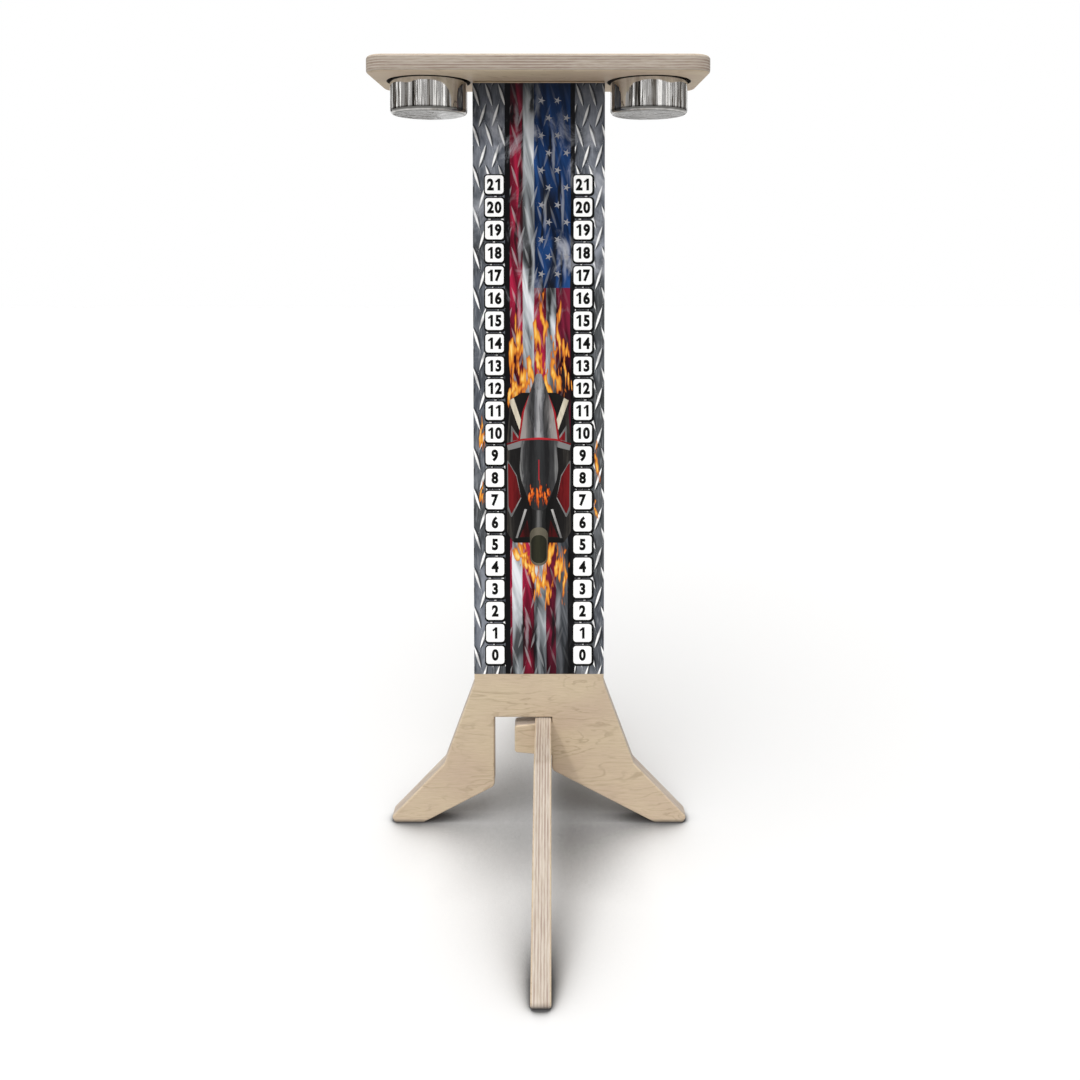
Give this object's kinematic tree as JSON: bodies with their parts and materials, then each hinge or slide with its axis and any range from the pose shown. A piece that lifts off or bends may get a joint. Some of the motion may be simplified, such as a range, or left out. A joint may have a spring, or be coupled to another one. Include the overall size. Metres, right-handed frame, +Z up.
{
  "type": "score stand with cup holders",
  "caption": "Free-standing plywood score column for lawn toss games: printed score sheet, top shelf with drop-in steel cups, and a cross foot that slides onto a tapered tongue.",
  "frame": {"origin": "on the floor, midway between the column's two faces and midway between its two sides", "axes": "+Z up, +X to the right seen from the printed side, -Y out of the printed side"},
  "size_m": [0.376, 0.5124, 0.8876],
  "materials": {
    "birch_plywood": "sanded birch plywood, clear satin coat",
    "printed_sheet": "printed vinyl, satin laminate",
    "polished_steel": "polished stainless steel",
    "screw_steel": "zinc plated"
  },
  "bodies": {
    "stand": {"upright": "birch_plywood", "score_sheet": "printed_sheet", "shelf": "birch_plywood", "shelf_screw_1": "screw_steel", "shelf_screw_2": "screw_steel", "shelf_screw_3": "screw_steel"},
    "cross_foot": {"cross_foot": "birch_plywood"},
    "cup_left": {"cup_left": "polished_steel"},
    "cup_right": {"cup_right": "polished_steel"}
  },
  "joints": [
    {"name": "cross_foot_slide", "type": "slide", "parent": "stand", "child": "cross_foot", "axis": [-1, 0, 0], "range_m": [0, 0.046]},
    {"name": "cup_left_lift", "type": "slide", "parent": "stand", "child": "cup_left", "axis": [0, 0, 1], "range_m": [0, 0.065]},
    {"name": "cup_right_lift", "type": "slide", "parent": "stand", "child": "cup_right", "axis": [0, 0, 1], "range_m": [0, 0.065]}
  ]
}
